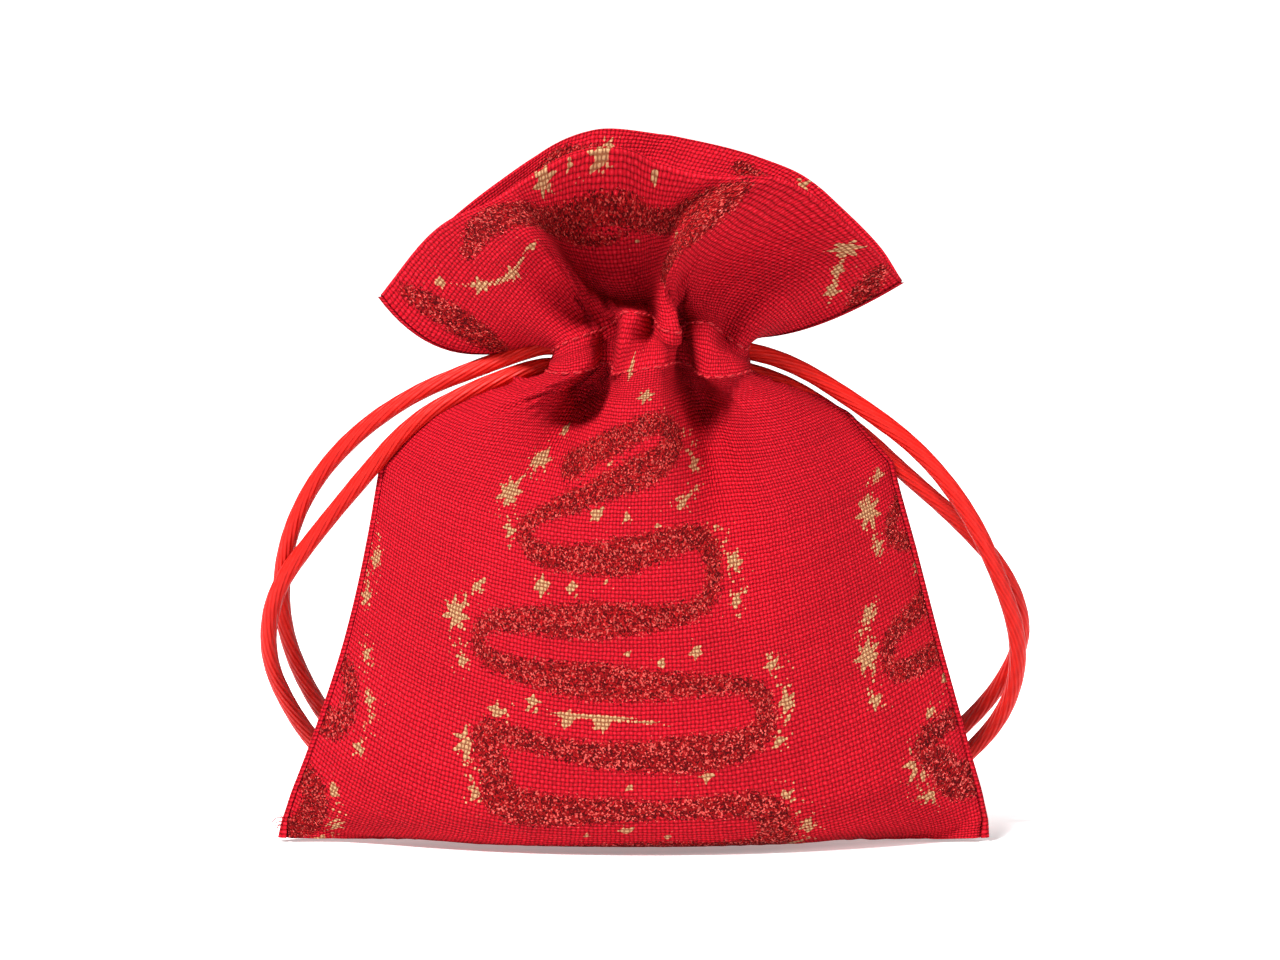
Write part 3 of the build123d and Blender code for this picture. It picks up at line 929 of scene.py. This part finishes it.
def cotton_material():
    """Woven cloth with a foil print and a glitter print on it."""
    sh = Shader("printed_cotton")
    uv, height, shade = weave(sh, THREAD_PITCH)
    fibre = sh.noise(uv, 2600.0, 2.0)
    patch = sh.noise(uv, 7.0, 3.0)

    # painted shade: the red is darker down in the gaps between the threads and full on their tops,
    # by the weave's height
    cloth = sh.mix(sh.ramp(height, 0.12, 0.66), (0.14, 0.0010, 0.0028), (0.62, 0.0060, 0.0185))
    # painted highlight: the tops of the threads are lightened towards pale pink, as if lit
    painted_crown_highlight = sh.ramp(height, 0.74, 1.0)
    painted_crown_highlight = sh.times(painted_crown_highlight, sh.fit(fibre, 0.9, 0.1))
    cloth = sh.mix(sh.times(painted_crown_highlight, 0.75), cloth, (0.90, 0.040, 0.072))
    tone = sh.fit(shade, 0.22, 0.84)
    tone = sh.times(tone, sh.fit(patch, 0.24, 0.88))
    cloth = sh.scaled(cloth, tone)

    # foil print: it sits on the crowns of the threads
    ragged = sh.fit(sh.noise(uv, 330.0, 2.0), 0.5, -0.22)
    high = sh.fit(height, 0.28, -0.20)
    edge = sh.plus(sh.plus(sh.attribute("foil"), ragged), high)
    foil = sh.ramp(edge, -0.02, 0.06)
    near, _ = sh.cells(uv, 105.0)
    dust = sh.times(sh.attribute("dust"), 0.30)
    dots = sh.math("GREATER_THAN", sh.math("SUBTRACT", dust, near), 0.0)
    dots = sh.times(dots, sh.ramp(height, 0.4, 0.6))
    foil = sh.math("MAXIMUM", foil, dots)
    # painted shade and highlight on the foil: darker gold down between the threads, lighter on
    # their tops
    gold_with_painted_shade = sh.mix(sh.ramp(height, 0.35, 0.85), (0.30, 0.105, 0.045), (0.66, 0.38, 0.19))
    colour = sh.mix(foil, cloth, gold_with_painted_shade)

    # glitter print: small flakes, each at its own slant
    _, flake = sh.cells(uv, 440.0)
    red, green = sh.split(flake)
    ragged = sh.fit(sh.noise(uv, 200.0, 3.0), 1.6, -0.7)
    scatter = sh.fit(red, 1.0, -0.5)
    edge = sh.plus(sh.plus(sh.attribute("glitter"), ragged), scatter)
    glitter = sh.ramp(edge, -0.05, 0.08)
    flake_tone_and_painted_glint = sh.mix(sh.ramp(green, 0.15, 0.90), (0.075, 0.0008, 0.0018), (0.54, 0.008, 0.011))
    # painted glint: flakes with a high random value are coloured bright pink-red as if catching the
    # light; the same flakes are made glossy and metallic below
    painted_glint_flake = sh.ramp(green, 0.80, 0.87)
    flake_tone_and_painted_glint = sh.mix(painted_glint_flake, flake_tone_and_painted_glint, (1.0, 0.13, 0.11))
    colour = sh.mix(glitter, colour, flake_tone_and_painted_glint)
    sh.put(sh.out.inputs["Base Color"], colour)

    shiny = sh.times(glitter, painted_glint_flake)
    rough = sh.fit(shiny, -0.50, 0.86)
    rough = sh.fit(foil, -0.32, rough)
    sh.put(sh.out.inputs["Roughness"], sh.math("MAXIMUM", rough, 0.25))
    metal = sh.math("MAXIMUM", sh.times(foil, 0.5), sh.times(shiny, 0.4))
    sh.put(sh.out.inputs["Metallic"], metal)
    sh.out.inputs["Specular IOR Level"].default_value = 0.07

    relief = sh.fit(fibre, 0.22, height)
    normal = sh.bump(relief, 1.0, 0.00040)
    slant = sh.vector("SUBTRACT", flake, (0.5, 0.5, 0.5))
    slant = sh.scaled(slant, sh.times(glitter, 1.3))
    normal = sh.vector("NORMALIZE", sh.vector("ADD", normal, slant))
    sh.put(sh.out.inputs["Normal"], normal)
    return sh.material


def cord_material():
    """Satin cord: fine slanting yarns with a soft gloss."""
    sh = Shader("satin_cord")
    u, v = sh.split(sh.uv())
    yarn = sh.wave(sh.fit(v, 13.0, sh.times(u, 330.0)))
    other = sh.wave(sh.math("SUBTRACT", sh.times(u, 330.0), sh.times(v, 5.0)))
    uv = sh.join(sh.times(u, 100.0), sh.times(v, 7.0))
    crease = sh.noise(uv, 1.3, 3.0)
    fibre = sh.noise(sh.join(sh.times(u, 60.0), sh.times(v, 60.0)), 4.0, 2.0)
    height = sh.fit(other, 0.35, yarn)
    # painted shade: the cord is darker down in the grooves between the yarns and in the low
    # creases, the same reliefs that the bump uses
    shade = sh.fit(height, 0.09, 0.55)
    shade = sh.plus(shade, sh.fit(crease, 0.5, -0.25))
    colour = sh.mix(sh.ramp(shade, 0.1, 0.95), (0.36, 0.0025, 0.0018), (0.74, 0.016, 0.010))
    sh.put(sh.out.inputs["Base Color"], colour)
    sh.put(sh.out.inputs["Roughness"], sh.fit(fibre, 0.25, 0.34))
    sh.out.inputs["Specular IOR Level"].default_value = 0.16
    relief = sh.fit(crease, 1.3, height)
    sh.put(sh.out.inputs["Normal"], sh.bump(relief, 0.5, 0.00012))
    return sh.material


def thread_material():
    """Two-ply sewing thread."""
    sh = Shader("sewing_thread")
    u, v = sh.split(sh.uv())
    ply = sh.wave(sh.fit(v, 2.0, sh.times(u, 900.0)))
    # painted shade: the thread is darker in the grooves between its plies, the same wave that the
    # bump uses
    colour = sh.mix(sh.ramp(ply, -1.0, 1.0), (0.26, 0.004, 0.008), (0.62, 0.02, 0.03))
    sh.put(sh.out.inputs["Base Color"], colour)
    sh.out.inputs["Roughness"].default_value = 0.7
    sh.out.inputs["Specular IOR Level"].default_value = 0.25
    sh.put(sh.out.inputs["Normal"], sh.bump(ply, 0.5, 0.00006))
    return sh.material


def floor_material():
    """White paper that glows, a painted light: faintly in front of and near the sack, fully behind
    it and far away, so that the backdrop stays white.
    """
    sh = Shader("floor")
    place = sh.node("ShaderNodeTexCoord").outputs["Object"]
    grain = sh.noise(place, 40.0, 3.0)
    colour = sh.mix(grain, (0.86, 0.86, 0.865), (0.88, 0.88, 0.885))
    sh.put(sh.out.inputs["Base Color"], colour)
    sh.out.inputs["Roughness"].default_value = 0.7
    sh.out.inputs["Specular IOR Level"].default_value = 0.1
    _, deep = sh.split(place)
    distance = sh.vector("LENGTH", place).node.outputs["Value"]
    # painted light: the floor itself glows, 0.22 in front of the sack and up to 1.02 behind it and
    # far off
    far = sh.math("MAXIMUM", sh.ramp(deep, -0.02, 0.05), sh.ramp(distance, 0.35, 0.70))
    glow = sh.fit(far, 0.80, 0.22)
    sh.put(sh.out.inputs["Emission Color"], (1.0, 1.0, 1.0))
    sh.put(sh.out.inputs["Emission Strength"], glow)
    return sh.material


# --- cords, knots and stitches --------------------------------------------------------
def smooth_line(points):
    """Points of the NURBS curve that a route's points control, in metres."""
    curve = bpy.data.curves.new("route", "CURVE")
    curve.dimensions = "3D"
    spline = curve.splines.new("NURBS")
    spline.points.add(len(points) - 1)
    for point, place in zip(spline.points, points):
        point.co = (*(Vector(place) * MM), 1)
    spline.order_u = 3
    spline.use_endpoint_u = True
    spline.resolution_u = 12
    obj = placed("route", curve)
    bpy.context.view_layer.update()
    mesh = bpy.data.meshes.new_from_object(obj)
    line = np.array([vertex.co[:] for vertex in mesh.vertices])
    bpy.data.objects.remove(obj)
    bpy.data.curves.remove(curve)
    bpy.data.meshes.remove(mesh)
    return line


def even(line, step):
    """The same line with points about step metres apart, and how far along they lie."""
    run = run_along(line)
    wanted = np.linspace(0, run[-1], max(2, int(round(run[-1] / step)) + 1))
    return places_at(line, run, wanted), wanted


def tube_object(name, lines, radius, material, around=16, uneven=0.0, round_start=True,
                round_end=True, step=0.0004):
    """Mesh of round tubes along lines, the UV map holding metres along and turns around."""
    verts, faces, uvs = [], [], []
    for line in lines:
        line, run = even(np.asarray(line), step)
        tangents = np.gradient(line, axis=0)
        tangents /= np.linalg.norm(tangents, axis=1, keepdims=True)
        side = np.cross(tangents[0], (0.3, 0.5, 0.8))
        base = len(verts)
        count = len(line)
        for k in range(count):
            side = side - tangents[k] * np.dot(side, tangents[k])
            side /= np.linalg.norm(side)
            other = np.cross(tangents[k], side)
            size = radius * (1 + uneven * math.sin(1400 * run[k]) * math.sin(530 * run[k] + 1))
            for rounded, from_end in ((round_start, run[k]), (round_end, run[-1] - run[k])):
                if rounded and from_end < radius:
                    size *= math.sqrt(max(0.02, 1 - (1 - from_end / radius) ** 2))
            for a in range(around):
                angle = 2 * math.pi * a / around
                oval = 1 + 2 * uneven * math.cos(2 * angle + 300 * run[k])
                outward = math.cos(angle) * side + math.sin(angle) * other
                verts.append(line[k] + size * oval * outward)
        for k in range(count - 1):
            for a in range(around):
                b = (a + 1) % around
                row, above = base + k * around, base + (k + 1) * around
                faces.append((row + a, row + b, above + b, above + a))
                low, high = run[k], run[k + 1]
                uvs += [(low, a / around), (low, (a + 1) / around),
                        (high, (a + 1) / around), (high, a / around)]
        for ring, flip in ((base, True), (base + (count - 1) * around, False)):
            cap = [ring + a for a in range(around)]
            faces.append(tuple(reversed(cap)) if flip else tuple(cap))
            uvs += [(0.0, a / around) for a in range(around)]
    mesh = mesh_of(name, [tuple(v) for v in verts], faces, material)
    mesh.shade_smooth()
    mesh.uv_layers.new(name="along").data.foreach_set("uv", np.array(uvs).ravel())
    return placed(name, mesh)


def seam_ridge(name, line, outward, cotton):
    """The turned-in seam at the edge of the panels, as a half-round ridge of cloth."""
    run = run_along(line)
    from_corner = np.clip(run / 3.0, 0, 1)
    reach = SEAM_REACH * (1.0 + 0.7 * (1 - from_corner) * (line[0, 2] < 5.0))
    angles = np.radians(np.linspace(-88, 88, 9))
    places = np.empty((len(line), len(angles), 3))
    for k, angle in enumerate(angles):
        places[:, k] = line
        places[:, k, 0] += outward * (reach * math.cos(angle) - 0.25)
        places[:, k, 1] += 0.75 * reach * math.sin(angle)
    places[:, :, 2] = np.maximum(places[:, :, 2], 0.1)
    piece, pattern = sheet_object(name, places, angles * SEAM_REACH, run, outward, cotton)
    for blank in ("glitter", "foil"):
        store(piece, blank, np.full(len(pattern), -3.0))
    return piece


def fibre_lines(corner):
    """A few loose ends of thread at the lower left corner."""
    random = np.random.default_rng(5)
    lines = []
    for _ in range(5):
        start = corner + np.array([0.0, random.uniform(-0.6, 0.6), random.uniform(0.2, 2.6)])
        to_bend = [-random.uniform(0.6, 1.3), random.uniform(-0.8, 0.8), random.uniform(0, 0.9)]
        bend = start + np.array(to_bend)
        to_tip = [-random.uniform(0.2, 1.0), random.uniform(-0.6, 0.6), -random.uniform(0.2, 1.2)]
        tip = bend + np.array(to_tip)
        tip[2] = max(tip[2], 0.15)
        lines.append(along([start, bend, tip], np.linspace(0, 1, 12)) * MM)
    return lines


def stitch_lines(grid, side, v_row, row_step):
    """Short lines on the outside of a panel, along one row of stitches."""
    normals = grid_normals(grid, side)
    row = v_row / row_step
    low = int(row)
    part = row - low
    line = grid[low] * (1 - part) + grid[low + 1] * part
    line = line + normals[low] * 0.10
    columns = len(line) - 1
    per_mm = columns / PANEL_WIDTH
    lines = []
    place = 2.0
    while place < PANEL_WIDTH - 2.0:
        marks = np.linspace(place, place + STITCH_LENGTH, 6) * per_mm
        piece = places_at(line, np.arange(columns + 1), marks)
        dip = np.sin(np.linspace(0, math.pi, 6)) ** 0.5
        spot = np.clip(np.round(marks).astype(int), 0, columns)
        piece = piece + normals[low][spot] * (0.16 * dip[:, None] - 0.12)
        lines.append(piece * MM)
        place += STITCH_LENGTH + STITCH_GAP
    return lines


def knot_lines(side):
    """Two strands tied together in an overhand knot, with their tails on the ground."""
    face_x = 18.6 if side < 0 else 19.2
    inward = -side
    middle = np.array([face_x * side + inward * 4.6, 34.3, 3.9])
    lines = []
    for strand in (-1, 1):
        t = np.linspace(-1.98, 1.98, 60)
        width = 1.0 + 0.17 * strand
        x = (t**5 - 10 * t) / 9.5 * 2.5
        y = (t**3 - 3 * t) / 2.0 * 1.9 * width + 0.35 * strand
        z = (t**4 - 4 * t**2) / 4.0 * 1.7 * width + 1.7 + 0.3 * strand
        loop = np.stack([inward * x, y, z], axis=1)
        start = np.array([[-inward * 5.6, 1.3 * strand, -0.6], [-inward * 4.2, 1.3 * strand, -0.3]])
        tail = np.array([
            [inward * 5.2, 1.7 * strand, -0.8],
            [inward * 8.6, 2.6 * strand, -2.4],
            [inward * 12.6, 3.4 * strand + 0.6, -2.7],
            [inward * 15.4, 3.2 * strand + 1.2, -2.7],
        ])
        inner = loop[6:-6]
        control = np.concatenate([start, inner[::3], tail])
        line = along(control + middle, np.linspace(0, 1, 160))
        line[:, 2] = np.maximum(line[:, 2], CORD_DIAMETER / 2 + 0.02)
        lines.append(line * MM)
    return lines


def casing_line(side):
    """The cord's way inside the casing, once round the throat and out again."""
    low, high = EXIT_Z - STRAND_PITCH / 2, EXIT_Z + STRAND_PITCH / 2
    half = [(-7.4, 0.0, low), (-5.0, -1.2, low + 1.6), (0.0, -1.2, low + 1.8),
            (5.0, -1.2, low + 1.6), (8.6, -1.2, low + 0.8), (10.4, 0.0, EXIT_Z)]
    back = [(x, -y, 2 * EXIT_Z - z) for x, y, z in reversed(half[:-1])]
    return [(-side * x, -side * y, z) for x, y, z in half + back]


# --- putting it together --------------------------------------------------------------
def make_panels(cotton, thread):
    """The two cloths with their hems and rows of stitches."""
    front, back = make_cloth()
    ridges = make_edges(front, cotton, thread)
    for name, grid, side, lip in (("front_cloth", front, -1, "front_lip"),
                                  ("back_cloth", back, 1, "back_lip")):
        fine = refined(grid, FINER)
        places, s, v = with_hem(fine, side)
        piece, pattern = sheet_object(name, places, s, v, side, cotton)
        add_print(piece, pattern, 0.0 if side < 0 else 31.0)
        word = name.split("_")[0]
        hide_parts(f"{word}_panel", f"{word}_casing", f"{word}_facing", f"{word}_ruffle")
        if side < 0:
            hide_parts("bottom_seam")
        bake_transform(piece)
        row_step = PANEL_HEIGHT / (len(fine) - 1)
        for row_name, v_row in (("lower", CHANNEL_LOW), ("upper", CHANNEL_HIGH)):
            lines = stitch_lines(fine, side, v_row, row_step)
            stitches = tube_object(f"{word}_{row_name}_stitches", lines, 0.17 * MM, thread,
                                   around=6, step=0.00025)
            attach(stitches, "sack")
            if side < 0:
                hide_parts(f"{row_name}_casing_stitching")


def make_edges(front, cotton, thread):
    """Side seams below and above the slits, and the loose fibres at a corner."""
    below = int(ROWS * (CHANNEL_LOW + 0.8) / PANEL_HEIGHT) + 1
    above = int(ROWS * (CHANNEL_HIGH - 0.8) / PANEL_HEIGHT) + 1
    ridges = []
    for column, outward, word in ((0, -1, "left"), (-1, 1, "right")):
        lower = seam_ridge(f"{word}_seam_ridge", front[:below, column], outward, cotton)
        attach(lower, "sack")
        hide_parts(f"{word}_side_seam")
        upper = seam_ridge(f"{word}_ruffle_ridge", front[above:, column], outward, cotton)
        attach(upper, "sack")
        ridges += [lower, upper]
    fibres = tube_object("loose_fibres", fibre_lines(front[0, 0]), 0.07 * MM, thread, around=6)
    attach(fibres, "sack")
    return ridges


def make_cords(material):
    """The cords' free strands, their knots, and their way round the throat."""
    sides = ((-1, "left", (LEFT_UPPER, LEFT_LOWER)), (1, "right", (RIGHT_UPPER, RIGHT_LOWER)))
    for side, word, routes in sides:
        knot = tube_object(f"{word}_overhand_knot", knot_lines(side), CORD_DIAMETER / 2 * MM,
                           material, uneven=0.02, round_start=False, step=0.0005)
        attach(knot, f"{word}_loop")
        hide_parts(f"{word}_knot")
        for level, route in zip(("upper", "lower"), routes):
            height = route[0][2]
            inner = [(side * INNER_START, 0.0, height), (side * 10.5, 0.0, height)]
            line = smooth_line(inner + route)
            piece = tube_object(f"{word}_{level}_cord", [line], CORD_DIAMETER / 2 * MM, material,
                                uneven=0.015, round_start=False, round_end=False)
            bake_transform(piece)
            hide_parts(f"{word}_{level}_strand")
        inside = tube_object(f"{word}_casing_cord", [smooth_line(casing_line(side))],
                             CORD_DIAMETER / 2 * 0.9 * MM, material, uneven=0.015)
        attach(inside, "sack")
        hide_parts(f"{word}_cord_in_casing", f"{word}_cord_ends_in_slit")


def main():
    set_colours()
    make_camera()
    make_floor(floor_material())
    make_world(0.05)
    make_light("key", (-0.40, -0.52, 0.92), (0, 0, 0.06), (0.24, 0.24), 24.5)
    make_light("side", (0.95, -0.35, 0.50), (0, 0, 0.05), (0.3, 0.5), 4.4)
    make_cords(cord_material())
    make_panels(cotton_material(), thread_material())


main()
